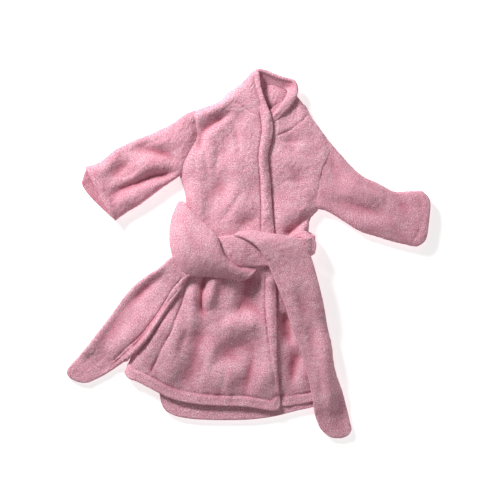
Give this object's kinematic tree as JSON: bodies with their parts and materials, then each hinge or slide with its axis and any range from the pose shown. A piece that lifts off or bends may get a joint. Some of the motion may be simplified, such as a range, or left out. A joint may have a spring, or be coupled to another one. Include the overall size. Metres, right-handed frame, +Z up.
{
  "type": "bathrobe",
  "caption": "Small wrap-front terry bathrobe laid face up, with a collar band, wide sleeves and a sash tied in a half knot.",
  "frame": {"origin": "on the table under the middle of the laid robe's overall outline", "axes": "+Z up off the table through the thickness of the laid robe, +Y up the table towards the collar, +X towards the robe's left sleeve; the robe's own centre line leans 8.5 degrees from +Y towards +X"},
  "size_m": [0.3831, 0.3889, 0.0321],
  "materials": {
    "terry_body": "brushed terry loop pile, matte",
    "terry_collar": "folded terry band, matte",
    "terry_sleeve": "terry loop pile, matte",
    "terry_loop": "flat terry strip, matte",
    "terry_sash": "doubled terry, matte",
    "sewing_thread": "spun polyester sewing thread"
  },
  "bodies": {
    "robe": {"back_panel": "terry_body", "left_front": "terry_body", "right_front": "terry_body", "collar": "terry_collar", "right_belt_loop": "terry_loop", "left_belt_loop": "terry_loop", "sash_waist": "terry_sash", "sash_knot": "terry_sash", "front_stitching": "sewing_thread", "hem_stitching": "sewing_thread"},
    "corner": {"skirt_corner": "terry_body", "corner_stitching": "sewing_thread"},
    "right_arm": {"right_sleeve": "terry_sleeve", "right_cuff_stitching": "sewing_thread"},
    "left_arm": {"left_sleeve": "terry_sleeve", "left_cuff_stitching": "sewing_thread"},
    "right_end": {"sash_right_end": "terry_sash", "right_end_stitching": "sewing_thread"},
    "left_end": {"sash_left_end": "terry_sash", "left_end_stitching": "sewing_thread"}
  },
  "joints": [
    {"name": "right_sleeve_fold", "type": "hinge", "parent": "robe", "child": "right_arm", "pos_m": [-0.0648, 0.1189, 0.0186], "axis": [0.2244, 0.9745, 0], "range_deg": [0, 90]},
    {"name": "left_sleeve_fold", "type": "hinge", "parent": "robe", "child": "left_arm", "pos_m": [0.08095, 0.07685, 0.0152], "axis": [-0.1632, -0.9866, 0], "range_deg": [0, 90]},
    {"name": "right_end_lift", "type": "hinge", "parent": "robe", "child": "right_end", "pos_m": [-0.06746, -0.01164, 0.0317], "axis": [-0.7083, 0.7059, 0], "range_deg": [0, 90]},
    {"name": "left_end_lift", "type": "hinge", "parent": "robe", "child": "left_end", "pos_m": [0.04431, -0.01475, 0.0317], "axis": [-0.9636, -0.2672, 0], "range_deg": [0, 90]},
    {"name": "skirt_corner_fold", "type": "hinge", "parent": "robe", "child": "corner", "pos_m": [0.02944, -0.05496, 0.019], "axis": [-0.7059, -0.7083, 0], "range_deg": [0, 90]}
  ]
}
